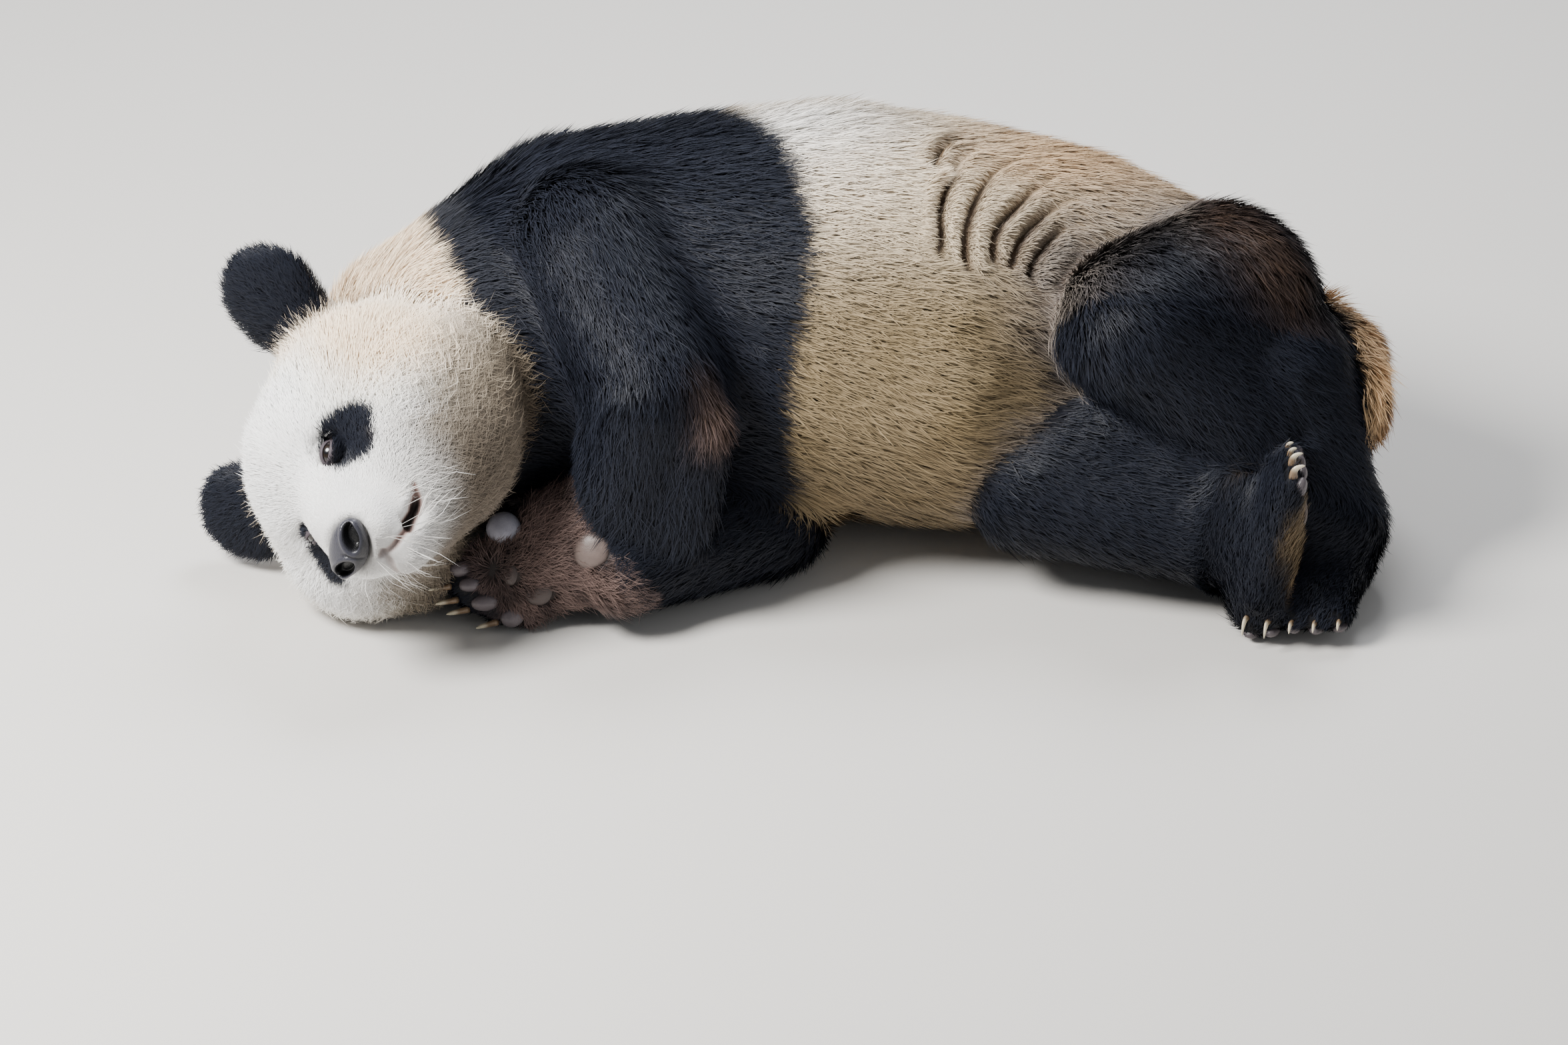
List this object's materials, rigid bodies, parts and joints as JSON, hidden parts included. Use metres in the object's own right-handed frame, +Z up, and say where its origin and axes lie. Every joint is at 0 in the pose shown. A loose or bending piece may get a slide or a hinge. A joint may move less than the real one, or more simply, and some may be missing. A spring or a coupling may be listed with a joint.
{
  "type": "giant panda, still model",
  "caption": "Life-size still model of a resting giant panda, curled on its right side with its head bent to its chest.",
  "frame": {"origin": "middle of the model's footprint, on the floor it lies on", "axes": "+X from the head to the rump, -Y the belly side, +Z up, which is the animal's left side"},
  "size_m": [1.303, 0.703, 0.46],
  "materials": {
    "fur_white": "dense soft fur, cream white",
    "fur_black": "dense glossy fur, black",
    "fur_tail": "fluffy fur, tan cream",
    "eye": "dark brown, wet gloss",
    "nose": "fine grained, moist black",
    "pad": "bare grey pink paw pads",
    "claw": "ivory horn"
  },
  "bodies": {
    "root": {"head": "fur_white", "neck": "fur_white", "trunk": "fur_white", "tail": "fur_tail", "ear_left": "fur_black", "ear_right": "fur_black", "eye_left": "eye", "eye_right": "eye", "nose": "nose", "upper_arm_right": "fur_black", "forearm_right": "fur_black", "forepaw_right": "fur_black", "upper_arm_left": "fur_black", "forearm_left": "fur_black", "forepaw_left": "fur_black", "thigh_right": "fur_black", "shank_right": "fur_black", "hind_foot_right": "fur_black", "thigh_left": "fur_black", "shank_left": "fur_black", "hind_foot_left": "fur_black"}
  },
  "joints": []
}
